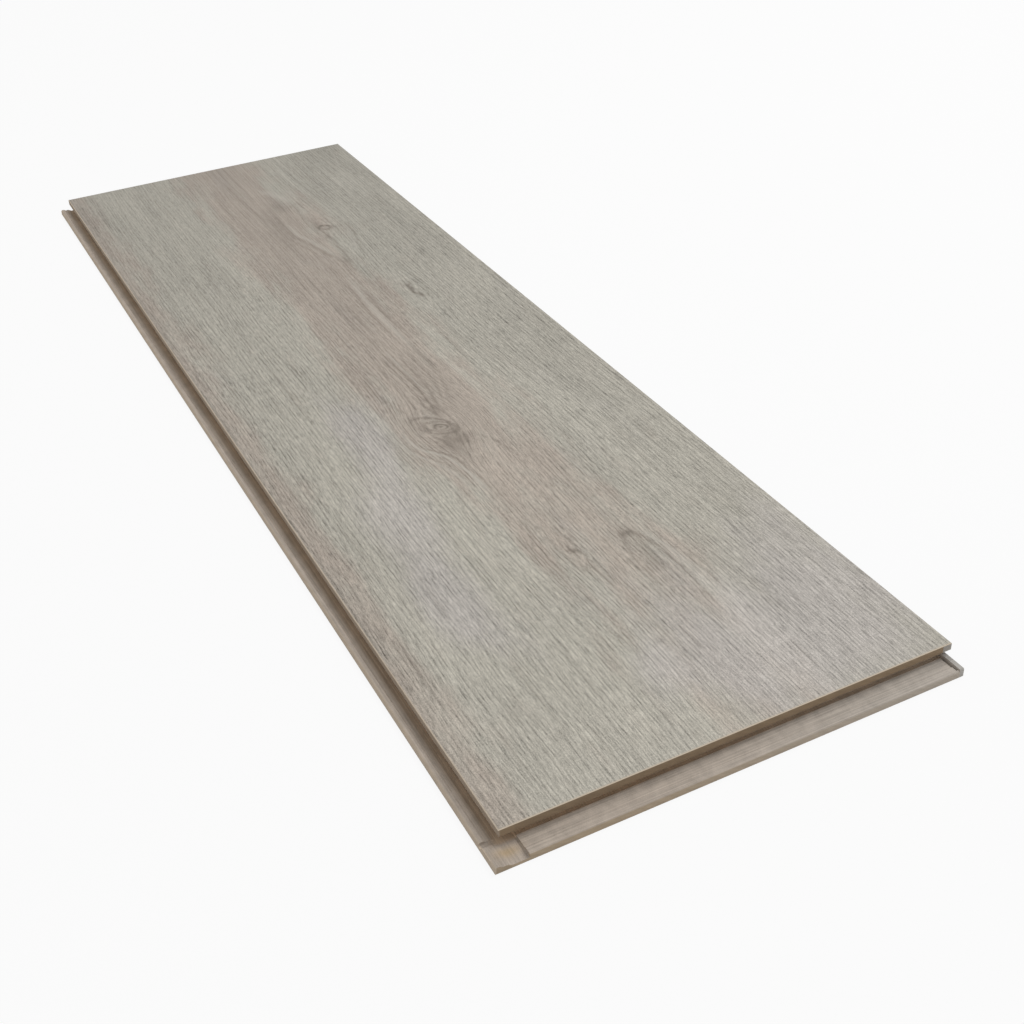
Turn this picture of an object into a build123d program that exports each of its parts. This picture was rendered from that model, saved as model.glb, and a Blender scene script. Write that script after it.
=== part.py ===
from build123d import *
import os

# A laminate floor plank, lying flat with its decor face up. X runs across the board, Y along it,
# and the origin is under the middle of the board, on the surface that it lies on.
# Seen from above, the left long side and the near short side carry a groove over a lower lip.
# The right long side and the far short side carry a tongue over a recess for the next board's lip.
# Lengths are in millimetres. Heights are measured up from the underside.

# The board
FACE_WIDTH = 193.0  # the decor face, across
FACE_LENGTH = 640.0  # the decor face, along
THICKNESS = 8.0
FACE_EASE = 0.2  # the eased edge round the decor face
UPPER_LIP = 3.2  # the layer that roofs both grooves

# The groove and lower lip of the long side
LONG_LIP_REACH = 6.5  # how far the lower lip stands out past the decor face
LONG_GROOVE_DEPTH = 6.5
LONG_GROOVE_FLOOR = 1.3
LONG_CHANNEL_FLOOR = 2.2  # the lip's top between the groove and its ridge
LONG_CHANNEL_RAMP = 1.8  # the stretch in which the groove's floor climbs to the channel
LONG_RIDGE_WIDTH = 2.8  # the locking ridge at the lip's end
LONG_RIDGE_TOP = 2.85
LONG_RIDGE_ROUND = 1.0  # radius on the ridge's outer edge

# The groove and lower lip of the short side
SHORT_LIP_REACH = 10.0
SHORT_GROOVE_DEPTH = 2.5
SHORT_GROOVE_FLOOR = 1.6
SHORT_CHANNEL_FLOOR = 2.5
SHORT_RIDGE_WIDTH = 4.1
SHORT_RIDGE_TOP = 2.95
SHORT_RIDGE_ROUND = 0.5

# The tongues
LONG_TONGUE_REACH = 4.2
LONG_TONGUE_TIP = 3.3  # height of the upper corner of the tip
SHORT_TONGUE_REACH = 2.3
SHORT_TONGUE_TIP = 4.4
TONGUE_ROUND = 0.35  # radius on a tip
TONGUE_TRIM = 5.0  # how far the long tongue is cut back from the near corner
HEEL_SETBACK = 2.1  # the board below a tongue stops this far short of the decor edge

# The fit of one board in the next
FIT_GAP = 0.1  # play between a tongue and its groove
LOCK_GAP = 0.25  # play round a ridge that lies in a recess
RECESS_LAND = 4.0  # board left whole between a groove's inner end and a recess

# The rounding of grooves and ridges
GROOVE_MOUTH = 1.0  # the level stretch of a groove's roof behind the decor edge, and the short ramp below it
GROOVE_ROUND = 0.5  # radius in a groove's inner corners
RIDGE_SLOPE = 0.9  # how far a ridge's locking face leans
LOCK_ROUND = 0.2  # radius on a ridge's inner edge, and in a recess's corners

# The raised rail that closes the end of the short lip, under the long tongue's side
RAIL_WIDTH = 1.85
RAIL_TOP = 3.7
RAIL_ROUND = 0.7  # radius on its near end
SLOT_WIDTH = 0.95  # the slot along the rail's foot, which carries on the groove's floor
SLOT_STOP = 1.0  # the lip left whole between the slot and the lip's edge

OVERCUT = 1.0  # how far a cut runs out past the surface that it opens

# Worked out from the driving dimensions
OVERALL_WIDTH = LONG_LIP_REACH + FACE_WIDTH + LONG_TONGUE_REACH
OVERALL_LENGTH = SHORT_LIP_REACH + FACE_LENGTH + SHORT_TONGUE_REACH
FACE_LEFT = LONG_LIP_REACH - OVERALL_WIDTH / 2
FACE_RIGHT = FACE_LEFT + FACE_WIDTH
FACE_NEAR = SHORT_LIP_REACH - OVERALL_LENGTH / 2
FACE_FAR = FACE_NEAR + FACE_LENGTH
GROOVE_ROOF = THICKNESS - UPPER_LIP
TONGUE_TOP = GROOVE_ROOF - FIT_GAP
END_ROUNDS = {
    "roof end": GROOVE_ROUND,
    "floor end": GROOVE_ROUND,
}
GROOVE_ROUNDS = {
    **END_ROUNDS,
    "ridge inner edge": LOCK_ROUND,
}
LONG_TONGUE_BOTTOM = LONG_CHANNEL_FLOOR + FIT_GAP
SHORT_TONGUE_BOTTOM = SHORT_CHANNEL_FLOOR + FIT_GAP

# Section planes: the local x runs out from the decor edge of a side, and the local y runs up
LEFT_SIDE = Plane((FACE_LEFT, 0, 0), x_dir=(-1, 0, 0), z_dir=(0, 1, 0))
RIGHT_SIDE = Plane((FACE_RIGHT, 0, 0), x_dir=(1, 0, 0), z_dir=(0, -1, 0))
NEAR_SIDE = Plane((0, FACE_NEAR, 0), x_dir=(0, -1, 0), z_dir=(-1, 0, 0))
FAR_SIDE = Plane((0, FACE_FAR, 0), x_dir=(0, 1, 0), z_dir=(1, 0, 0))


def section(points, rounds):
    """A closed section through named points, with a radius at each corner that rounds names."""
    outline = make_face(Polyline(*points.values(), close=True))
    for corner, radius in rounds.items():
        vertex = outline.vertices().sort_by_distance((*points[corner], 0))[0]
        outline = fillet(vertex, radius)
    return outline


def run_along(side, outline, start, stop):
    """The outline run along a side, from one place to another on the axis that the side follows."""
    direction = side.z_dir.X + side.z_dir.Y
    first = min(start * direction, stop * direction)
    return extrude(side.offset(first) * outline, amount=stop - start)


def ridge(reach, channel, width, top):
    """The corners of the locking ridge at the end of a lower lip."""
    foot = reach - width
    return {
        "ridge foot": (foot, channel),
        "ridge inner edge": (foot + RIDGE_SLOPE, top),
        "lip edge": (reach, top),
    }


def groove_cut(depth, roof_end, lip, edge_round, rounds):
    """The section milled away on a groove side: the groove, and all that stood over the lower lip.

    The lip's corners run from the groove's inner end out to the lip's edge.
    """
    reach, top = lip["lip edge"]
    lip_end = top - 2 * edge_round
    points = {
        "over": (-FACE_EASE - OVERCUT, THICKNESS + OVERCUT),
        "decor edge": (0, THICKNESS - FACE_EASE),
        "mouth": (0, GROOVE_ROOF),
        "roof start": (-GROOVE_MOUTH, GROOVE_ROOF),
        "roof end": (-depth, roof_end),
        **lip,
        "lip end": (reach, lip_end),
        "out": (reach + OVERCUT, lip_end),
        "out over": (reach + OVERCUT, THICKNESS + OVERCUT),
    }
    return section(points, {"lip edge": edge_round, **rounds})


def tongue_cut(reach, tip, bottom):
    """The section milled away on a tongue side: all that stood round the tongue and below it."""
    points = {
        "over": (-FACE_EASE - OVERCUT, THICKNESS + OVERCUT),
        "decor edge": (0, THICKNESS - FACE_EASE),
        "root": (0, TONGUE_TOP),
        "shoulder": (TONGUE_ROUND, TONGUE_TOP),
        "tip": (reach, tip),
        "tip bottom": (reach, bottom),
        "heel": (-HEEL_SETBACK, bottom),
        "under": (-HEEL_SETBACK, -OVERCUT),
        "out under": (reach + OVERCUT, -OVERCUT),
        "out over": (reach + OVERCUT, THICKNESS + OVERCUT),
    }
    rounds = {
        "tip": TONGUE_ROUND,
        "tip bottom": TONGUE_ROUND,
    }
    return section(points, rounds)


def recess_cut(reach, bottom, ridge_width, ridge_top):
    """The section milled out under a tongue, where the next board's lower lip and its ridge lie."""
    lock_end = -reach - LOCK_GAP
    lock_start = -reach + ridge_width + LOCK_GAP
    lock_roof = ridge_top + LOCK_GAP
    points = {
        "under": (lock_end, -OVERCUT),
        "lock end": (lock_end, lock_roof),
        "lock start": (lock_start - RIDGE_SLOPE, lock_roof),
        "heel": (lock_start, bottom),
        "out": (0, bottom),
        "out under": (0, -OVERCUT),
    }
    rounds = {
        "lock end": LOCK_ROUND,
        "lock start": LOCK_ROUND,
    }
    return section(points, rounds)


def long_side_cuts():
    """The groove on the left, and the tongue on the right with its recess."""
    end = OVERALL_LENGTH / 2 + OVERCUT
    lip = {
        "floor end": (-LONG_GROOVE_DEPTH, LONG_GROOVE_FLOOR),
        "ramp start": (0, LONG_GROOVE_FLOOR),
        "ramp end": (LONG_CHANNEL_RAMP, LONG_CHANNEL_FLOOR),
        **ridge(LONG_LIP_REACH, LONG_CHANNEL_FLOOR, LONG_RIDGE_WIDTH, LONG_RIDGE_TOP),
    }
    roof_end = LONG_TONGUE_TIP + FIT_GAP
    groove = groove_cut(LONG_GROOVE_DEPTH, roof_end, lip, LONG_RIDGE_ROUND, GROOVE_ROUNDS)
    tongue = tongue_cut(LONG_TONGUE_REACH, LONG_TONGUE_TIP, LONG_TONGUE_BOTTOM)
    recess = recess_cut(LONG_LIP_REACH, LONG_TONGUE_BOTTOM, LONG_RIDGE_WIDTH, LONG_RIDGE_TOP)
    recess_start = FACE_NEAR + TONGUE_TRIM + RECESS_LAND
    return [
        run_along(LEFT_SIDE, groove, -end, end),
        run_along(RIGHT_SIDE, tongue, -end, end),
        run_along(RIGHT_SIDE, recess, recess_start, end),
    ]


def short_side_cuts():
    """The groove on the near side with its slot and rail, and the far side's tongue and recess."""
    end = OVERALL_WIDTH / 2 + OVERCUT
    rail_start = FACE_RIGHT - HEEL_SETBACK - RAIL_WIDTH
    slot_start = rail_start - SLOT_WIDTH
    slot_end = SHORT_LIP_REACH - SLOT_STOP
    roof_end = SHORT_TONGUE_TIP + FIT_GAP
    lip = {
        "floor end": (-SHORT_GROOVE_DEPTH, SHORT_GROOVE_FLOOR),
        "ramp start": (-GROOVE_MOUTH, SHORT_GROOVE_FLOOR),
        "ramp end": (0, SHORT_CHANNEL_FLOOR),
        **ridge(SHORT_LIP_REACH, SHORT_CHANNEL_FLOOR, SHORT_RIDGE_WIDTH, SHORT_RIDGE_TOP),
    }
    groove = groove_cut(SHORT_GROOVE_DEPTH, roof_end, lip, SHORT_RIDGE_ROUND, GROOVE_ROUNDS)
    slot = {
        "floor end": (-SHORT_GROOVE_DEPTH, SHORT_GROOVE_FLOOR),
        "slot end": (slot_end, SHORT_GROOVE_FLOOR),
        "slot edge": (slot_end, SHORT_RIDGE_TOP),
        "lip edge": (SHORT_LIP_REACH, SHORT_RIDGE_TOP),
    }
    by_rail = groove_cut(SHORT_GROOVE_DEPTH, roof_end, slot, SHORT_RIDGE_ROUND, END_ROUNDS)
    rail = {
        "rail end": (-SHORT_GROOVE_DEPTH, RAIL_TOP),
        "lip edge": (SHORT_LIP_REACH, RAIL_TOP),
    }
    over_rail = groove_cut(SHORT_GROOVE_DEPTH, roof_end, rail, RAIL_ROUND, {})
    tongue = tongue_cut(SHORT_TONGUE_REACH, SHORT_TONGUE_TIP, SHORT_TONGUE_BOTTOM)
    recess = recess_cut(SHORT_LIP_REACH, SHORT_TONGUE_BOTTOM, SHORT_RIDGE_WIDTH, SHORT_RIDGE_TOP)
    recess_start = FACE_LEFT + LONG_GROOVE_DEPTH + RECESS_LAND
    return [
        run_along(NEAR_SIDE, groove, -end, slot_start),
        run_along(NEAR_SIDE, by_rail, slot_start, rail_start),
        run_along(NEAR_SIDE, over_rail, rail_start, end),
        run_along(FAR_SIDE, tongue, -end, end),
        run_along(FAR_SIDE, recess, recess_start, end),
    ]


def tongue_trims():
    """The blocks cut off the tongues under the decor layer, at the corners where a lower lip ends."""
    low = -OVERCUT
    height = GROOVE_ROOF + OVERCUT
    right_reach = HEEL_SETBACK + LONG_TONGUE_REACH + OVERCUT
    near_reach = SHORT_LIP_REACH + TONGUE_TRIM + OVERCUT
    near_right = Box(right_reach, near_reach, height, align=(Align.MIN, Align.MAX, Align.MIN))
    far_reach = HEEL_SETBACK + SHORT_TONGUE_REACH + OVERCUT
    left_reach = LONG_LIP_REACH + LONG_GROOVE_DEPTH + OVERCUT
    far_left = Box(left_reach, far_reach, height, align=(Align.MAX, Align.MIN, Align.MIN))
    return [
        Pos(FACE_RIGHT - HEEL_SETBACK, FACE_NEAR + TONGUE_TRIM, low) * near_right,
        Pos(FACE_LEFT + LONG_GROOVE_DEPTH, FACE_FAR - HEEL_SETBACK, low) * far_left,
    ]


def floor_plank():
    """The board, milled on its four sides out of a plain blank."""
    blank = Box(OVERALL_WIDTH, OVERALL_LENGTH, THICKNESS, align=(Align.CENTER, Align.CENTER, Align.MIN))
    return blank - long_side_cuts() - short_side_cuts() - tongue_trims()


os.makedirs("parts", exist_ok=True)
export_step(floor_plank(), "parts/floor_plank.step")
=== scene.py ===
import math
from collections import namedtuple
from functools import reduce
from operator import add

import bmesh
import bpy
from bpy.props import FloatProperty, FloatVectorProperty, PointerProperty
from bpy.types import Operator, Panel, PropertyGroup
from mathutils import Color, Matrix, Vector


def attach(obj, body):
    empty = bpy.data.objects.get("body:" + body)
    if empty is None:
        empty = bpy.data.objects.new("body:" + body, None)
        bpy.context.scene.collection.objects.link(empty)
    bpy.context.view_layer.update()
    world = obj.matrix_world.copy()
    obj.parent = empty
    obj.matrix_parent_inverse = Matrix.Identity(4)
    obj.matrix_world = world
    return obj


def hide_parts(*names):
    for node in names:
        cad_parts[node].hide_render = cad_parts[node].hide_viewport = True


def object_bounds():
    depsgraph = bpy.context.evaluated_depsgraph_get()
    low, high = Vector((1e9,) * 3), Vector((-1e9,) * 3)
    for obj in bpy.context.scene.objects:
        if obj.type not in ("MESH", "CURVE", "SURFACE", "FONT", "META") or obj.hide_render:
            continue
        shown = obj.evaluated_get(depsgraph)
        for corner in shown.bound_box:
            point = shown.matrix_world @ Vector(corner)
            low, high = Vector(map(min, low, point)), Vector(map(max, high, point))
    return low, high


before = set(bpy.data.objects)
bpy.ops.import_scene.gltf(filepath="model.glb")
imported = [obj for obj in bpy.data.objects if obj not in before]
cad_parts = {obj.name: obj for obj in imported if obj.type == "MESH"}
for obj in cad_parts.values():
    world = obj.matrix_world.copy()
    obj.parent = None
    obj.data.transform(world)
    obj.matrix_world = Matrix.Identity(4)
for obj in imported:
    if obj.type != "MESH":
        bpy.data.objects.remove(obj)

bl_info = {
    "name": "Laminate floor plank",
    "version": (1, 0, 0),
    "blender": (4, 5, 0),
    "location": "View3D > Sidebar > Plank",
    "description": "Dresses a milled laminate floor plank and sets it on a pale studio floor",
    "category": "Object",
}

CAD_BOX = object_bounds()
NODE = "floor_plank"
MM = 0.001
TOP = CAD_BOX[1].z
WELD = 0.001 * MM  # points nearer than this are one point
UNDERSIDE = 0.01 * MM  # faces lower than this carry the backing
EDGE_BAND = 0.3 * MM  # the eased edge of the decor face lies within this depth
FACES_UP = 0.9  # a face of the decor has a normal that rises more than this
FLAT_ANGLE = math.radians(0.5)  # facets that turn less than this are joined
SHARP_ANGLE = math.radians(30)  # edges that turn more than this are left crisp
GRID_ACROSS = 330  # cells of the embossed face
GRID_ALONG = 290
EMBOSS = "emboss"  # the attribute that is 1 where the face may sink
DECOR, BOARD, BACKING = range(3)  # the material slots
FLOOR_GAP = 0.05 * MM  # keeps the floor from lying in the same plane as the backing
FLOOR_REACH = 8  # metres from the middle of the floor to its sides
FLOOR_GLOW = 0.9  # share of the floor that the camera sees as plain white
SOFT, CRISP, ROUGH = 1.0, 2.0, 3.0  # detail of the noise

Grain = namedtuple("Grain", "weight wide long")
Knot = namedtuple("Knot", "x y push wide long")
Spot = namedtuple("Spot", "strength x y wide long")
Ring = namedtuple("Ring", "x y wide long skew rim thick lean rise fill")
Stroke = namedtuple("Stroke", "strength wide points")

# Places on the print are millimetres from the near left corner of the decor face.
# Noise that lightens and darkens the print, in grains of wide by long
FINE_GRAIN = (Grain(0.42, wide=1.5, long=12), Grain(0.98, wide=0.5, long=4.5))
BROAD_GRAIN = (Grain(0.28, wide=26, long=120), Grain(0.16, wide=9, long=70))
# A knot pushes the grain aside by push, over a field of wide by long.
KNOTS = (
    Knot(x=130.9, y=503, push=8, wide=12, long=38),
    Knot(x=143.5, y=390, push=5, wide=8, long=24),
    Knot(x=90.5, y=246, push=14, wide=15, long=30),
    Knot(x=97.9, y=124, push=3, wide=7, long=14),
)
# Dark oval outlines, slanted by skew, darker to the right by lean and to the far end by rise,
# with a faint tone inside by fill
RINGS = (
    Ring(130.9, 503, wide=3.2, long=3.5, skew=0.2,
         rim=0.60, thick=0.40, lean=0.3, rise=0.25, fill=0),
    Ring(146.0, 391, wide=4.8, long=10, skew=0,
         rim=0.22, thick=0.24, lean=-0.7, rise=0, fill=0.07),
    Ring(89.5, 247.4, wide=9.3, long=8.4, skew=0.62,
         rim=0.36, thick=0.15, lean=0.35, rise=0.2, fill=0.1),
    Ring(91.0, 245.8, wide=6.0, long=5.0, skew=0.45,
         rim=0.30, thick=0.16, lean=0.1, rise=0, fill=0.04),
    Ring(92.0, 244.6, wide=3.0, long=2.6, skew=0.3,
         rim=0.52, thick=0.24, lean=0, rise=0, fill=0),
    Ring(123.8, 90, wide=7.3, long=35, skew=0,
         rim=0.20, thick=0.14, lean=0.5, rise=0.75, fill=0.07),
)
# Soft dark spots in and round the knots
SMEARS = (
    Spot(0.60, x=92.1, y=244.5, wide=0.9, long=0.8),
    Spot(0.40, x=92, y=231, wide=8.5, long=7),
    Spot(0.24, x=91, y=219, wide=5, long=9),
    Spot(0.16, x=98.5, y=228.5, wide=6, long=7),
    Spot(0.22, x=98.5, y=261, wide=4.5, long=9),
    Spot(0.26, x=95.4, y=259, wide=1.8, long=6),
    Spot(0.40, x=127.5, y=488.6, wide=1.7, long=5),
    Spot(0.26, x=126.5, y=504, wide=2.4, long=6),
    Spot(0.24, x=128.4, y=513, wide=1.6, long=7),
    Spot(0.48, x=142.5, y=392.6, wide=1.4, long=3.2),
    Spot(0.34, x=140.8, y=388, wide=1.3, long=2.4),
    Spot(0.42, x=143.6, y=383, wide=1.4, long=3.2),
    Spot(0.30, x=142.2, y=398, wide=1.5, long=3),
    Spot(0.66, x=98.0, y=123.6, wide=1.4, long=1.3),
    Spot(0.40, x=96.4, y=125.2, wide=2.2, long=0.9),
    Spot(0.34, x=97.0, y=126.8, wide=0.8, long=1.6),
    Spot(0.36, x=99.6, y=122, wide=0.8, long=1.8),
    Spot(0.20, x=122.0, y=124.2, wide=3.4, long=2.2),
    Spot(0.20, x=124.8, y=104, wide=2.2, long=12),
    Spot(0.26, x=117, y=550, wide=6, long=8),
)
COOL_PATCHES = (
    Spot(1, x=57, y=258, wide=13, long=44),
    Spot(1, x=42, y=180, wide=16, long=45),
    Spot(1, x=40, y=118, wide=14, long=34),
    Spot(1, x=174, y=48, wide=38, long=60),
    Spot(0.8, x=88, y=40, wide=14, long=18),
    Spot(0.9, x=125, y=28, wide=30, long=36),
    Spot(0.5, x=112, y=80, wide=16, long=40),
)
# Dark and pale growth lines, each through points that run towards the far end
DARK_STROKES = (
    Stroke(0.30, 0.5, ((100.6, 86), (100, 100), (99.2, 112), (98.6, 120))),
    Stroke(0.20, 0.8, ((103, 92), (102, 106), (101.4, 118))),
    Stroke(0.28, 1.1, ((111.6, 204), (110.6, 215), (107.4, 224), (103.5, 231))),
    Stroke(0.30, 0.8, ((89.5, 176), (88.5, 200), (86.5, 214), (82, 224),
                       (76.5, 233), (75.5, 245), (77, 256))),
    Stroke(0.24, 0.8, ((84, 186), (82.5, 206), (77, 219), (72, 231), (71, 245), (73, 262))),
    Stroke(0.20, 1.0, ((85, 258), (82.4, 265), (79, 276), (77, 290), (76.5, 312))),
    Stroke(0.28, 0.6, ((88.6, 259), (88.4, 272), (88.8, 292), (88, 326))),
    Stroke(0.40, 0.6, ((92.4, 256), (93.4, 272), (94.4, 292), (93.8, 330))),
    Stroke(0.46, 0.6, ((95.2, 253), (96.4, 266), (97.4, 284), (97.2, 306), (96.6, 334))),
    Stroke(0.30, 0.6, ((97.5, 256), (100.4, 270), (102.6, 292), (102.4, 330))),
    Stroke(0.28, 0.7, ((100, 258), (104.8, 272), (108.2, 294), (108.6, 330))),
    Stroke(0.16, 4.0, ((96, 250), (98, 270), (100, 294), (100, 330))),
    Stroke(0.22, 1.4, ((104, 256), (110, 276), (113, 300), (113, 330))),
    Stroke(0.24, 0.8, ((97.4, 324), (96.8, 350), (95.6, 378), (96, 410))),
    Stroke(0.24, 0.8, ((102, 322), (101.4, 344), (101.6, 368), (100.6, 400))),
    Stroke(0.26, 1.2, ((118, 328), (116.6, 352), (116.4, 380), (118.6, 406))),
    Stroke(0.30, 0.9, ((109.6, 326), (109, 350), (109.4, 378), (111.4, 402), (112.4, 428))),
    Stroke(0.28, 1.7, ((124, 440), (120, 453), (116.6, 469), (112.2, 489),
                       (109, 504), (108.6, 528), (110, 556))),
    Stroke(0.22, 1.2, ((118, 440), (114.6, 455), (111.4, 470), (107.4, 489),
                       (104.6, 506), (104.4, 530), (106, 558))),
    Stroke(0.28, 1.9, ((124.4, 440), (126.2, 457), (127.6, 474), (129.3, 491))),
    Stroke(0.20, 1.2, ((136.6, 450), (139.6, 464), (142.8, 480), (145, 496), (145.6, 514))),
    Stroke(0.20, 3.0, ((124, 430), (123.6, 444), (124.4, 458))),
    Stroke(0.22, 1.2, ((104, 520), (101, 548), (99, 580), (100, 618))),
    Stroke(0.20, 1.4, ((88, 540), (86, 572), (90, 604))),
)
PALE_STROKES = (
    Stroke(0.55, 0.8, ((87.5, 172), (86.7, 198), (84.5, 213), (79.5, 224),
                       (74, 234), (73, 246), (74.5, 258))),
    Stroke(0.40, 0.8, ((81, 186), (79.5, 206), (74.5, 220), (69.5, 233), (69, 248))),
    Stroke(0.45, 0.5, ((99, 268), (99.4, 284), (99.4, 306), (98.4, 334))),
    Stroke(0.50, 0.5, ((133.5, 160), (132, 176), (131, 192), (130.6, 208))),
    Stroke(0.42, 1.4, ((114.5, 316), (113.2, 336), (112.7, 362), (113.2, 388),
                       (115, 412), (116, 438))),
    Stroke(0.32, 3.2, ((128, 549), (126.5, 557), (123, 567), (118.5, 577), (115.5, 588))),
    Stroke(0.40, 1.2, ((134, 80), (134.5, 100), (132, 115), (127, 128))),
    Stroke(0.34, 1.5, ((122.4, 454), (119, 470), (115.2, 489), (112.2, 504), (112, 526))),
    Stroke(0.28, 1.4, ((133, 452), (136.4, 465), (139.8, 480), (142, 498))),
)

# Where the milled board changes, and where light and shade are painted on it, from the same
# corner: each pair starts and stops a soft step
PAPER_EDGE = (-0.32, -0.2)  # in height
LOWER_BOARD = (-2.9, -4.6)  # in height
LONG_FACE = (0.8, 0.2)  # across, and so are the next three
LONG_LIP_SHADE = (0.4, -1.5)
LONG_GROOVE = (-4.0, 0.5)
LONG_LIP_END = (-5.6, -6.3)
SHORT_LIP = (0.5, -0.5)  # along, and so are the next three
SHORT_GROOVE = (-1.0, 1.0)
SHORT_LIP_SHADE = (-5.0, -1.5)
SHORT_LIP_FRONT = (-8.5, -9.5)
SHORT_LIP_START = (5.5, 6.5)  # across
SEAL_FROM_RIGHT = (4.1, 3.8)  # across, from the right edge of the decor face
TAN_PATCH = Spot(0.8, x=0.8, y=-4.4, wide=4.5, long=2.2)

# The camera, from the near left corner of the decor face
EYE_FROM_CORNER = Vector((-0.13097, -0.29602, 0.35065))
EYE_AZIMUTH = math.radians(25.584)
EYE_ELEVATION = math.radians(-34.586)
EYE_ROLL = math.radians(-2.780)
LENS = 49.472  # millimetres, and so is the sensor's width
SENSOR = 36.0


def colour_property(name, description, default):
    """A display colour that a user can change."""
    return FloatVectorProperty(
        name=name, description=description, default=default,
        subtype="COLOR_GAMMA", size=3, min=0, max=1,
    )


def length_property(name, description, default):
    """A length in metres that a user can change."""
    return FloatProperty(
        name=name, description=description, default=default, unit="LENGTH", min=0
    )


class PlankDecor(PropertyGroup):
    """The printed and embossed wood face."""

    grey: colour_property("Grey wood", "Main tone of the print", (0.685, 0.668, 0.625))
    brown: colour_property("Brown heart", "Band down the middle", (0.668, 0.628, 0.585))
    cool: colour_property("Cool patch", "Tone of the bluish patches", (0.703, 0.681, 0.660))
    dark: colour_property("Dark grain", "Tone of knots and dark lines", (0.42, 0.385, 0.345))
    pale: colour_property("Pale grain", "Tone of the pale lines", (0.77, 0.75, 0.71))
    # Painted highlight: the print is made paler along its near and left edges.
    edge: colour_property("Edge highlight", "Rim of the print at the grooves", (0.79, 0.735, 0.66))
    pitch: length_property("Line pitch", "Step from one grain line to the next", 1.85 * MM)
    relief: length_property("Relief", "Depth of the embossed grain", 0.09 * MM)


class PlankCore(PropertyGroup):
    """The milled fibre board and its backing paper."""

    upper: colour_property("Upper edge", "Board under the decor face", (0.615, 0.535, 0.44))
    lower: colour_property("Lower lip", "Milled top of the lower lips", (0.725, 0.677, 0.626))
    # Painted bounce light: a browner, lighter tone for the board in the grooves' shade, standing
    # in for light thrown back by the brown board.
    groove_bounce: colour_property("Groove bounce", "Board inside the grooves", (0.80, 0.70, 0.585))
    # Painted highlight on the rounded outer edge of the long lip.
    lip_highlight: colour_property("Lip edge highlight", "Outer edge of the long lip", (0.81, 0.745, 0.665))
    tan: colour_property("Tan patch", "Bare fibres where grooves cross", (0.74, 0.65, 0.52))
    seal: colour_property("Sealed end", "Pale seal of the right side", (0.70, 0.69, 0.67))
    # The paper's cut edge, drawn brighter than the paper itself as a painted highlight of the
    # eased edge.
    paper: colour_property("Paper edge", "Cut edge of the decor paper", (0.88, 0.82, 0.735))
    backing: colour_property("Backing", "Paper on the underside", (0.66, 0.58, 0.48))


class PlankStage(PropertyGroup):
    """The studio."""

    floor: colour_property("Floor", "Plain floor", (0.90, 0.90, 0.90))
    sky: FloatProperty(name="Sky", description="Strength of the even light", min=0, default=0.52)
    lamp_power: FloatProperty(
        name="Lamp power", description="Watts", unit="POWER", min=0, default=15.0
    )
    lamp_size: length_property("Lamp size", "Diameter of the softbox", 0.9)
    lamp_place: FloatVectorProperty(
        name="Lamp place", description="Middle of the softbox",
        subtype="XYZ_LENGTH", size=3, default=(1.05, 0.02, 1.6),
    )


class Field:
    """A number that varies over the surface: a node's output, with arithmetic that adds nodes."""

    def __init__(self, socket):
        self.socket = socket

    def math(self, operation, *others):
        node = self.socket.id_data.nodes.new("ShaderNodeMath")
        node.operation = operation
        for slot, value in zip(node.inputs, (self, *others)):
            put(slot, value)
        return Field(node.outputs[0])

    def __add__(self, other):
        return self.math("ADD", other)

    def __sub__(self, other):
        return self.math("SUBTRACT", other)

    def __mul__(self, other):
        return self.math("MULTIPLY", other)

    def __truediv__(self, other):
        return self.math("DIVIDE", other)

    def __neg__(self):
        return self.math("MULTIPLY", -1)

    def bell(self):
        """1 at nought, falling away smoothly on both sides."""
        return (-(self * self)).math("EXPONENT")

    def fade(self, start, stop):
        """0 at start and 1 at stop, with a smooth change between."""
        node = self.socket.id_data.nodes.new("ShaderNodeMapRange")
        node.interpolation_type = "SMOOTHSTEP"
        put(node.inputs["Value"], self)
        put(node.inputs["From Min"], start)
        put(node.inputs["From Max"], stop)
        return Field(node.outputs["Result"])


def put(slot, value):
    """Feed a node's input from a field, a socket or a plain value."""
    if isinstance(value, Field):
        value = value.socket
    if isinstance(value, bpy.types.NodeSocket):
        slot.id_data.links.new(value, slot)
    else:
        slot.default_value = value


def total(fields):
    """The sum of several fields."""
    return reduce(add, fields)


def split(socket):
    """The three parts of a place, in millimetres from the near left corner of the decor face."""
    corner, _ = decor_corners()
    node = socket.id_data.nodes.new("ShaderNodeSeparateXYZ")
    put(node.inputs[0], socket)
    return [(Field(part) - start) / MM for part, start in zip(node.outputs, corner)]


def noise(across, along, wide, long, detail=CRISP):
    """Cloudy noise about nought, stretched to grains of wide by long millimetres."""
    tree = across.socket.id_data
    place = tree.nodes.new("ShaderNodeCombineXYZ")
    put(place.inputs["X"], across / wide)
    put(place.inputs["Y"], along / long)
    node = tree.nodes.new("ShaderNodeTexNoise")
    node.noise_dimensions = "2D"
    put(node.inputs["Vector"], place.outputs[0])
    put(node.inputs["Scale"], 1.0)
    put(node.inputs["Detail"], detail)
    return Field(node.outputs[0]) - 0.5


def grains(across, along, parts):
    """Several layers of noise in one."""
    return total(noise(across, along, part.wide, part.long) * part.weight for part in parts)


def blend(mask, first, second):
    """The second colour laid over the first where the mask is 1."""
    node = mask.socket.id_data.nodes.new("ShaderNodeMix")
    node.data_type = "RGBA"
    factor, colour_a, colour_b = node.inputs[0], node.inputs[6], node.inputs[7]
    put(factor, mask)
    put(colour_a, first)
    put(colour_b, second)
    return node.outputs[2]


def brighten(colour, factor):
    """A colour made lighter or darker by a factor that varies over the surface."""
    node = colour.id_data.nodes.new("ShaderNodeVectorMath")
    node.operation = "SCALE"
    put(node.inputs[0], colour)
    put(node.inputs["Scale"], factor)
    return node.outputs[0]


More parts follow.
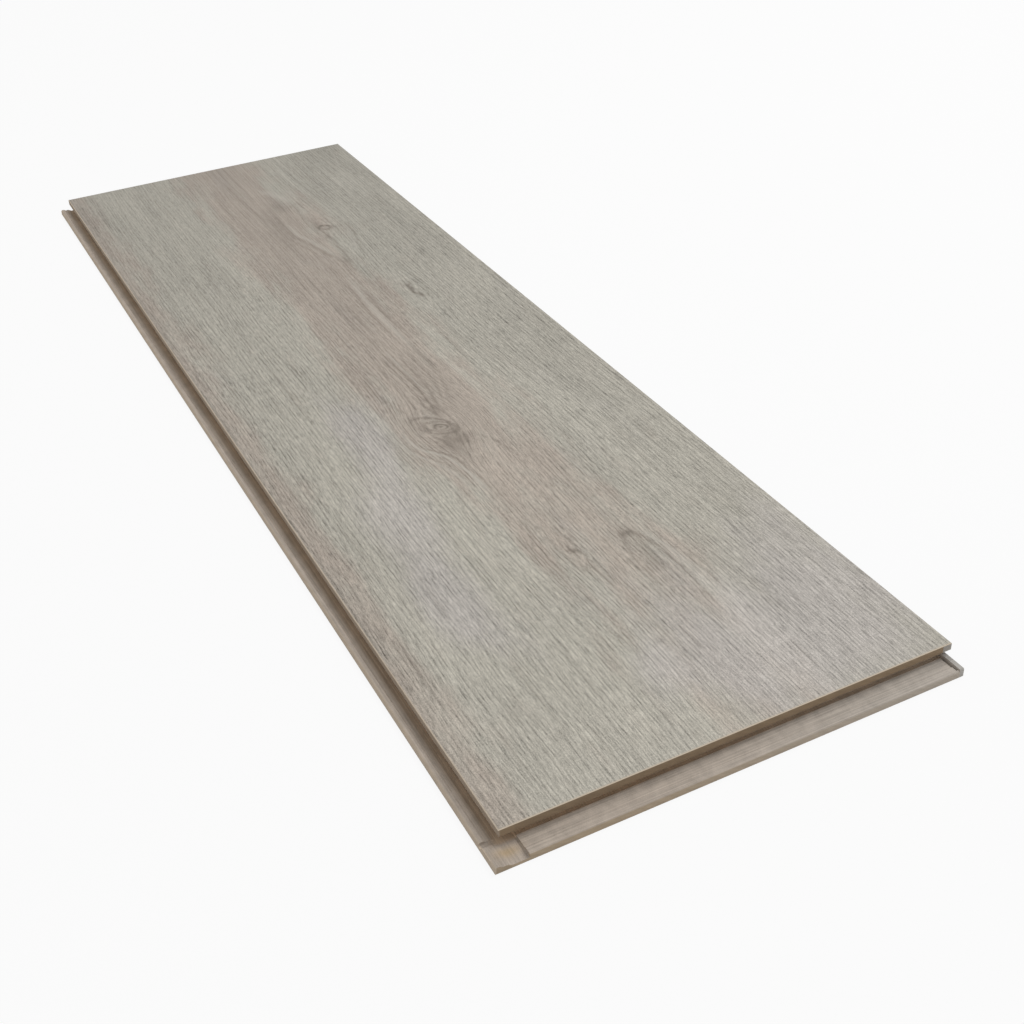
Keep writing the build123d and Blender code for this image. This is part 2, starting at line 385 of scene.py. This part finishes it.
def oval(x, y, shape):
    """1 in the middle of a knot or spot, falling away smoothly all round."""
    across = (x - shape.x) / shape.wide
    along = (y - shape.y) / shape.long
    return (-(across * across + along * along)).math("EXPONENT")


def spots(x, y, places):
    """Several soft oval masks in one."""
    return total(oval(x, y, place) * place.strength for place in places)


def ring(x, y, shape):
    """A soft oval outline with a faint tone inside."""
    across = (x - shape.x) / shape.wide
    along = (y - shape.y + (x - shape.x) * shape.skew) / shape.long
    away = (across * across + along * along).math("SQRT")
    side = across * shape.lean + along * shape.rise + 1
    rim = ((away - 1) / shape.thick).bell() * side * shape.rim
    return rim + away.fade(1.0, 0.7) * shape.fill


def stroke(x, y, line):
    """A soft line through a stroke's points, which fades at both ends."""
    across = [point[0] for point in line.points]
    along = [point[1] for point in line.points]
    left, width = min(across), max(across) - min(across)
    near, length = min(along), max(along) - min(along)
    share = (y - near) / length
    node = share.socket.id_data.nodes.new("ShaderNodeFloatCurve")
    put(node.inputs["Value"], share)
    curve = node.mapping.curves[0]
    while len(curve.points) < len(line.points):
        curve.points.new(0.5, 0.5)
    for point, (px, py) in zip(curve.points, line.points):
        point.location = ((py - near) / length, (px - left) / width)
    node.mapping.update()
    middle = Field(node.outputs[0]) * width + left
    ends = share.fade(0, 0.25) * share.fade(1, 0.75)
    return ((x - middle) / line.wide).bell() * ends * line.strength


def strokes(x, y, lines):
    """Several soft lines in one."""
    return total(stroke(x, y, line) for line in lines)


def linear(colour):
    """A display colour as the shader takes it."""
    return (*Color(colour).from_srgb_to_scene_linear(), 1.0)


def rgb(place, colour):
    """A display colour as a node's output, in the tree that the place belongs to."""
    node = place.id_data.nodes.new("ShaderNodeRGB")
    node.outputs[0].default_value = linear(colour)
    return node.outputs[0]


def corners(places):
    """The near left and the far right corner of a box round some places on top, in metres."""
    across = [place.x for place in places]
    along = [place.y for place in places]
    return Vector((min(across), min(along), TOP)), Vector((max(across), max(along), TOP))


def decor_corners():
    """The near left and the far right corner of the decor face, with its eased edge."""
    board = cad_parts[NODE].data
    return corners([v.co for v in board.vertices if v.co.z > TOP - EDGE_BAND])


def flow(x, y):
    """The grain's own coordinate across the board: lines of equal value run round the knots."""
    across = x + noise(x, y, 95, 190, SOFT) * 5 + noise(x, y, 26, 80, SOFT) * 1.2
    for knot in KNOTS:
        across = across - (x - knot.x) / knot.wide * oval(x, y, knot) * knot.push
    return across


def grain_lines(across, y, pitch):
    """The brushed lines of the grain: 1 in a furrow, and 0 on the wood between."""
    sway = noise(across, y, 7, 120) * 2.2
    tremble = noise(across, y, 2.4, 35, SOFT) * 0.6
    phase = across / pitch + sway + tremble
    wave = ((phase * math.tau).math("SINE") + 1) * 0.5
    patchy = noise(across, y, 3, 20, SOFT).fade(-0.25, 0.15)
    return wave.math("POWER", 2.6) * (patchy * 0.65 + 0.35)


def grain_pores(across, y):
    """The short dark pores, 0 to 1."""
    return noise(across, y, 0.8, 12, SOFT).fade(0.05, 0.2)


def emboss_nodes(decor):
    """Geometry nodes that sink the grain lines and pores into the decor face."""
    tree = bpy.data.node_groups.new("emboss grain", "GeometryNodeTree")
    tree.interface.new_socket("Board", in_out="INPUT", socket_type="NodeSocketGeometry")
    tree.interface.new_socket("Board", in_out="OUTPUT", socket_type="NodeSocketGeometry")
    source = tree.nodes.new("NodeGroupInput")
    result = tree.nodes.new("NodeGroupOutput")
    place = tree.nodes.new("GeometryNodeInputPosition")
    inside = tree.nodes.new("GeometryNodeInputNamedAttribute")
    inside.data_type = "FLOAT"
    put(inside.inputs["Name"], EMBOSS)
    x, y, _ = split(place.outputs[0])
    across = flow(x, y)
    furrow = grain_lines(across, y, decor.pitch / MM) * 0.7 + grain_pores(across, y) * 0.3
    sunk = -(furrow * Field(inside.outputs["Attribute"]) * decor.relief)
    offset = tree.nodes.new("ShaderNodeCombineXYZ")
    put(offset.inputs["Z"], sunk)
    move = tree.nodes.new("GeometryNodeSetPosition")
    put(move.inputs["Geometry"], source.outputs[0])
    put(move.inputs["Offset"], offset.outputs[0])
    put(result.inputs[0], move.outputs[0])
    return tree


def open_decor_face(bm):
    """Take the flat decor face out of the board, divide its sides, and return its corners."""
    level = [face for face in bm.faces if face.calc_center_median().z > TOP - WELD]
    face = max(level, key=lambda candidate: candidate.calc_area())
    if len(face.verts) != 4:
        raise RuntimeError(f"the decor face has {len(face.verts)} corners, not 4")
    low, high = corners([v.co for v in face.verts])
    sides = list(face.edges)
    bmesh.ops.delete(bm, geom=[face], context="FACES_ONLY")
    for side in sides:
        run = side.verts[0].co - side.verts[1].co
        cells = GRID_ACROSS if abs(run.x) > abs(run.y) else GRID_ALONG
        bmesh.ops.subdivide_edges(bm, edges=[side], cuts=cells - 1)
    return low, high


def lay_grid(bm, low, high):
    """Fill the place of the decor face with a fine grid that may sink inside its border."""
    emboss = bm.verts.layers.float.new(EMBOSS)
    rows = []
    for j in range(GRID_ALONG + 1):
        row = []
        for i in range(GRID_ACROSS + 1):
            share = Vector((i / GRID_ACROSS, j / GRID_ALONG, 0))
            point = bm.verts.new(low + (high - low) * share)
            point[emboss] = 0 < i < GRID_ACROSS and 0 < j < GRID_ALONG
            row.append(point)
        rows.append(row)
    for near, far in zip(rows, rows[1:]):
        for i in range(GRID_ACROSS):
            bm.faces.new((near[i], near[i + 1], far[i + 1], far[i]))


def board_mesh():
    """The milled board, with its decor face laid out as a fine grid."""
    bm = bmesh.new()
    bm.from_mesh(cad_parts[NODE].data)
    bmesh.ops.remove_doubles(bm, verts=bm.verts, dist=WELD)
    bmesh.ops.dissolve_limit(bm, angle_limit=FLAT_ANGLE, verts=bm.verts, edges=bm.edges)
    low, high = open_decor_face(bm)
    lay_grid(bm, low, high)
    bmesh.ops.remove_doubles(bm, verts=bm.verts, dist=WELD)
    for polygon in bm.faces:
        polygon.smooth = True
    for edge in bm.edges:
        edge.smooth = edge.calc_face_angle() < SHARP_ANGLE
    mesh = bpy.data.meshes.new("plank_board")
    bm.to_mesh(mesh)
    bm.free()
    return mesh


def principled(name):
    """A new material with its shader and a socket that carries the place on the board."""
    material = bpy.data.materials.new(name)
    material.use_nodes = True
    tree = material.node_tree
    shader = tree.nodes["Principled BSDF"]
    place = tree.nodes.new("ShaderNodeTexCoord").outputs["Object"]
    return material, shader, place


def roughen(shader, strength, distance, height):
    """Tilt a shader's normal by a bump."""
    bump = shader.id_data.nodes.new("ShaderNodeBump")
    put(bump.inputs["Strength"], strength)
    put(bump.inputs["Distance"], distance)
    put(bump.inputs["Height"], height)
    put(shader.inputs["Normal"], bump.outputs[0])


def decor_tint(decor, x, y, across):
    """The broad tones of the print: grey wood, a brown heart and edge, and cool patches."""
    heart_middle = y.fade(260, 40) * 16 + 100
    heart = (across - heart_middle) / 27 + noise(across, y, 10, 70, ROUGH) * 1.6
    heart = heart.math("ABSOLUTE").fade(1.7, 0.4) * (y.fade(0, 320) * 0.5 + 0.5)
    left_strip = (x + noise(x, y, 12, 60) * 18).fade(22, 3) * 0.75
    warm = heart.math("MAXIMUM", left_strip) + noise(x, y, 9, 30) * 0.9
    colour = blend(warm.fade(0, 1), linear(decor.grey), linear(decor.brown))
    cool = (spots(x, y, COOL_PATCHES) + noise(across, y, 22, 60, ROUGH) * 1.2).fade(0.1, 1.1)
    return blend(cool * 0.8, colour, linear(decor.cool))


def decor_tone(x, y, across, fine):
    """How light the print is, about nought: its fine grain, its clouds and its slow changes, with
    painted light that makes the near end lighter and the far end and the right side darker.
    """
    calm_heart = ((x - 106) / 28).bell() * y.fade(120, 300) * 0.3
    calm_far = y.fade(260, 640) * 0.5
    streaks = noise(across, y, 2.6, 90) * (y.fade(100, 500) * 0.16 + 0.18)
    tone = fine * (-calm_heart - calm_far + 1) + grains(across, y, BROAD_GRAIN) + streaks

    # Painted light: the near end of the print is made lighter.
    near = y.fade(130, 0) * 0.06
    near_heart = ((x - 112) / 26).bell() * y.fade(150, 60) * 0.03
    # Painted shade: the print darkens towards the far end, where the light falls off.
    far = y.fade(140, 640) * 0.235
    far_heart = ((across - 97) / 9).bell() * y.fade(280, 400) * 0.06
    left_edge = x.fade(7, 0) * (y.fade(250, 0) * 0.05 + 0.06)
    # Painted shade: the right side of the print is made darker, most at its ends.
    right_end_shade = y.fade(300, 640) * 0.02 + y.fade(150, 0) * 0.015
    right_shade = x.fade(110, 185) * (right_end_shade + 0.045)
    return tone + near + near_heart - far - far_heart - left_edge - right_shade


def dark_figure(x, y, across, wander):
    """How far the print is dark, 0 to 1: faint bands, ragged knots and broken growth lines."""
    bands = noise(across, y, 4, 70).fade(0.08, 0.4) * 0.25
    ragged = x + noise(x, y, 1.6, 2.4) * 1.4
    broken = noise(x, y, 2.5, 5).fade(-0.35, 0.1) * 0.8 + 0.3
    lines = total(ring(ragged, y, shape) for shape in RINGS) + strokes(wander, y, DARK_STROKES)
    dark = bands + spots(ragged, y, SMEARS) + lines * broken
    return dark.math("MINIMUM", 1.0)


def decor_material(decor):
    """Grey oak print under a matt wear layer, with painted light that falls off towards the far
    end and a painted highlight along its edges.
    """
    material, shader, place = principled("oak decor")
    x, y, _ = split(place)
    across = flow(x, y)
    furrow = grain_lines(across, y, decor.pitch / MM)
    pores = grain_pores(across, y)
    grit = noise(x, y, 0.45, 0.8, SOFT)

    fine = grains(across, y, FINE_GRAIN) + grit * 0.9 - furrow * 0.31 - pores * 0.14
    tone = decor_tone(x, y, across, fine)
    colour = brighten(decor_tint(decor, x, y, across), tone + 1.21)
    wander = x + noise(x, y, 4, 12) * 1.6
    colour = blend(strokes(wander, y, PALE_STROKES), colour, linear(decor.pale))
    colour = blend(dark_figure(x, y, across, wander), colour, linear(decor.dark))
    # Painted highlight: the print turns paler within a millimetre of its near and left edges.
    edge = y.fade(0.9, 0.2).math("MAXIMUM", x.fade(0.7, 0.2)) * 0.6
    colour = blend(edge, colour, linear(decor.edge))

    put(shader.inputs["Base Color"], colour)
    put(shader.inputs["Roughness"], noise(across, y, 2, 20, SOFT) * 0.16 + furrow * 0.1 + 0.5)
    put(shader.inputs["Specular IOR Level"], 0.1)
    roughen(shader, 0.6, decor.relief, grit * 0.5 - furrow * 0.5 - pores * 0.5)
    return material


def fleck_group():
    """The fine flecks of pressed wood fibres, as a shader group that board and paper share."""
    group = bpy.data.node_groups.new("fibre flecks", "ShaderNodeTree")
    group.interface.new_socket("Place", in_out="INPUT", socket_type="NodeSocketVector")
    group.interface.new_socket("Fleck", in_out="OUTPUT", socket_type="NodeSocketFloat")
    source = group.nodes.new("NodeGroupInput")
    result = group.nodes.new("NodeGroupOutput")
    x, y, z = split(source.outputs[0])
    put(result.inputs[0], noise(x + z * 3, y + z * 5, 0.35, 0.5))
    return group


def flecks(place, group):
    """The group of fibre flecks, placed in a material."""
    node = place.id_data.nodes.new("ShaderNodeGroup")
    node.node_tree = group
    put(node.inputs[0], place)
    return Field(node.outputs[0])


def core_material(core, fleck):
    """Milled fibre board: brown below the decor, paler and streaked on the lips, with painted
    shade, bounce light and highlights.
    """
    material, shader, place = principled("fibre board")
    tree = material.node_tree
    x, y, z = split(place)
    near_left, far_right = decor_corners()
    width = (far_right.x - near_left.x) / MM
    geometry = tree.nodes.new("ShaderNodeNewGeometry")
    normal = tree.nodes.new("ShaderNodeSeparateXYZ")
    put(normal.inputs[0], geometry.outputs["True Normal"])
    level = Field(normal.outputs["Z"]).fade(0.3, 0.9)
    upright = -level + 1
    low = z.fade(*LOWER_BOARD)
    to_right = x.fade(30, width)
    on_short_lip = y.fade(*SHORT_LIP) * x.fade(*SHORT_LIP_START)
    streak_long = noise(x, y, 0.6, 40)
    streak_short = noise(y, x, 0.6, 40)
    streak = streak_long + (streak_short - streak_long) * on_short_lip
    fibre = flecks(place, fleck)
    mottle = noise(x + z * 2, y + z * 2, 4, 7)

    # Painted light: the left face of the upper board is drawn paler than its near face, as if lit
    # from the left.
    lit_left_face = x.fade(*LONG_FACE) * 0.45
    colour = blend(lit_left_face.math("MAXIMUM", low), linear(core.upper), linear(core.lower))
    # Painted bounce light: inside the grooves and on the inner left lip the board takes the
    # browner, lighter groove tone.
    groove = x.fade(*LONG_GROOVE).math("MINIMUM", y.fade(*SHORT_GROOVE)) * low
    colour = blend(groove * 0.8, colour, linear(core.groove_bounce))
    colour = blend(spots(x, y, [TAN_PATCH]) * low, colour, linear(core.tan))
    front = y.fade(*SHORT_LIP_FRONT) * upright
    colour = blend(front * (to_right * -0.3 + 0.6), colour, linear(core.tan))
    # Towards the right end the lower board takes on more of the pale grey.
    colour = blend(to_right * low * 0.38, colour, linear(core.seal))
    sealed = x.fade(*(width - inset for inset in SEAL_FROM_RIGHT))
    colour = blend(sealed * 0.8, colour, linear(core.seal))

    tone = fibre * 0.35 + streak * level * 0.6 + mottle * 0.35
    # Painted shade: the left lip is made darker, most towards the near end.
    tone = tone - x.fade(*LONG_LIP_SHADE) * (y.fade(300, 0) * 0.06 + 0.04)
    # Painted shadow: the near lip darkens towards the groove under the decor's near edge.
    tone = tone - on_short_lip * (y.fade(*SHORT_LIP_SHADE) * 0.15 + 0.01)
    # Painted light: the upright faces are drawn lighter towards the right end, as if lit from the
    # right.
    tone = tone + to_right * upright * 0.13
    colour = brighten(colour, tone + 1.0)
    # Painted highlight: the outer edge of the left lip is drawn paler, with the board's flecks
    # and mottle.
    lip_highlight = brighten(rgb(place, core.lip_highlight), fibre * 0.3 + mottle * 0.3 + 1.0)
    colour = blend(x.fade(*LONG_LIP_END) * low * 0.9, colour, lip_highlight)
    # The cut edge of the decor paper, made extra bright as a painted highlight of the eased edge.
    colour = blend(z.fade(*PAPER_EDGE), colour, linear(core.paper))

    put(shader.inputs["Base Color"], colour)
    put(shader.inputs["Roughness"], fibre * 0.2 + 0.82)
    put(shader.inputs["Specular IOR Level"], 0.2)
    roughen(shader, 0.3, 0.05 * MM, fibre + streak)
    return material


def backing_material(core, fleck):
    """Kraft backing paper on the underside."""
    material, shader, place = principled("backing paper")
    x, y, _ = split(place)
    fibre = flecks(place, fleck)
    tone = fibre * 0.3 + noise(x, y, 30, 60) * 0.25 + 1.0
    put(shader.inputs["Base Color"], brighten(rgb(place, core.backing), tone))
    put(shader.inputs["Roughness"], fibre * 0.2 + 0.7)
    return material


def seen_by_camera(tree):
    """1 for the rays by which the camera sees the background, also in gloss and through glass."""
    path = tree.nodes.new("ShaderNodeLightPath")
    seen = Field(path.outputs["Is Camera Ray"])
    for ray in ("Is Glossy Ray", "Is Transmission Ray"):
        seen = seen.math("MAXIMUM", path.outputs[ray])
    return seen


class PLANK_OT_board(Operator):
    """Make the plank's board, with its embossed decor face, milled edges and backing"""

    bl_idname = "plank.board"
    bl_label = "Board"

    def execute(self, context):
        decor = context.scene.plank_decor
        core = context.scene.plank_core
        board = bpy.data.objects.new("plank_board", board_mesh())
        context.scene.collection.objects.link(board)
        emboss = board.modifiers.new("emboss", "NODES")
        emboss.node_group = emboss_nodes(decor)
        flats = board.modifiers.new("flats", "WEIGHTED_NORMAL")
        flats.keep_sharp = True
        evaluated = board.evaluated_get(context.evaluated_depsgraph_get())
        mesh = bpy.data.meshes.new_from_object(evaluated)
        board.modifiers.clear()
        board.data = mesh
        fleck = fleck_group()
        mesh.materials.append(decor_material(decor))
        mesh.materials.append(core_material(core, fleck))
        mesh.materials.append(backing_material(core, fleck))
        for polygon in mesh.polygons:
            if polygon.center.z > TOP - EDGE_BAND and polygon.normal.z > FACES_UP:
                polygon.material_index = DECOR
            elif polygon.center.z < UNDERSIDE:
                polygon.material_index = BACKING
            else:
                polygon.material_index = BOARD
        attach(board, "root")
        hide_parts(NODE)
        return {"FINISHED"}


class PLANK_OT_stage(Operator):
    """Set up the floor, the light and the camera"""

    bl_idname = "plank.stage"
    bl_label = "Stage"

    def execute(self, context):
        stage = context.scene.plank_stage
        self.floor(context, stage)
        self.sky(context, stage)
        self.lamp(context, stage)
        self.camera(context)
        context.scene.view_settings.view_transform = "Standard"
        return {"FINISHED"}

    def floor(self, context, stage):
        """A plain floor that lights the board as grey and looks white."""
        mesh = bpy.data.meshes.new("floor")
        bm = bmesh.new()
        bmesh.ops.create_grid(bm, x_segments=1, y_segments=1, size=FLOOR_REACH)
        bm.to_mesh(mesh)
        bm.free()
        floor = bpy.data.objects.new("floor", mesh)
        floor.location.z = -FLOOR_GAP
        context.scene.collection.objects.link(floor)
        material = bpy.data.materials.new("white floor")
        material.use_nodes = True
        tree = material.node_tree
        tree.nodes.clear()
        matt = tree.nodes.new("ShaderNodeBsdfDiffuse")
        put(matt.inputs["Color"], linear(stage.floor))
        glow = tree.nodes.new("ShaderNodeEmission")
        mix = tree.nodes.new("ShaderNodeMixShader")
        put(mix.inputs[0], seen_by_camera(tree) * FLOOR_GLOW)
        put(mix.inputs[1], matt.outputs[0])
        put(mix.inputs[2], glow.outputs[0])
        output = tree.nodes.new("ShaderNodeOutputMaterial")
        put(output.inputs["Surface"], mix.outputs[0])
        mesh.materials.append(material)

    def sky(self, context, stage):
        """An even light that looks white."""
        world = bpy.data.worlds.new("studio")
        world.use_nodes = True
        tree = world.node_tree
        background = tree.nodes["Background"]
        put(background.inputs["Color"], (1, 1, 1, 1))
        strength = seen_by_camera(tree) * (1 - stage.sky) + stage.sky
        put(background.inputs["Strength"], strength)
        context.scene.world = world

    def lamp(self, context, stage):
        """A round softbox that faces the middle of the board."""
        data = bpy.data.lights.new("softbox", "AREA")
        data.shape = "DISK"
        data.size = stage.lamp_size
        data.energy = stage.lamp_power
        lamp = bpy.data.objects.new("softbox", data)
        lamp.location = stage.lamp_place
        lamp.rotation_euler = (-lamp.location).to_track_quat("-Z", "Y").to_euler()
        context.scene.collection.objects.link(lamp)

    def camera(self, context):
        """A camera that looks down along the board from its near left corner."""
        data = bpy.data.cameras.new("camera")
        data.lens = LENS
        data.sensor_width = SENSOR
        camera = bpy.data.objects.new("camera", data)
        near_left, _ = decor_corners()
        place = Matrix.Translation(near_left + EYE_FROM_CORNER)
        turn = Matrix.Rotation(-EYE_AZIMUTH, 4, "Z")
        tilt = Matrix.Rotation(math.pi / 2 + EYE_ELEVATION, 4, "X")
        roll = Matrix.Rotation(EYE_ROLL, 4, "Z")
        camera.matrix_world = place @ turn @ tilt @ roll
        context.scene.collection.objects.link(camera)
        context.scene.camera = camera


class PLANK_PT_panel(Panel):
    """The plank's pieces and settings"""

    bl_idname = "PLANK_PT_panel"
    bl_label = "Laminate plank"
    bl_space_type = "VIEW_3D"
    bl_region_type = "UI"
    bl_category = "Plank"

    def draw(self, context):
        for operator in (PLANK_OT_board, PLANK_OT_stage):
            self.layout.operator(operator.bl_idname)
        for group in SETTINGS:
            settings = getattr(context.scene, group)
            for name in settings.__annotations__:
                self.layout.prop(settings, name)


SETTINGS = {"plank_decor": PlankDecor, "plank_core": PlankCore, "plank_stage": PlankStage}
CLASSES = (*SETTINGS.values(), PLANK_OT_board, PLANK_OT_stage, PLANK_PT_panel)


def register():
    for cls in CLASSES:
        bpy.utils.register_class(cls)
    for name, cls in SETTINGS.items():
        setattr(bpy.types.Scene, name, PointerProperty(type=cls))


def unregister():
    for name in SETTINGS:
        delattr(bpy.types.Scene, name)
    for cls in reversed(CLASSES):
        bpy.utils.unregister_class(cls)


def main():
    register()
    bpy.ops.plank.board()
    bpy.ops.plank.stage()


if __name__ == "__main__":
    main()
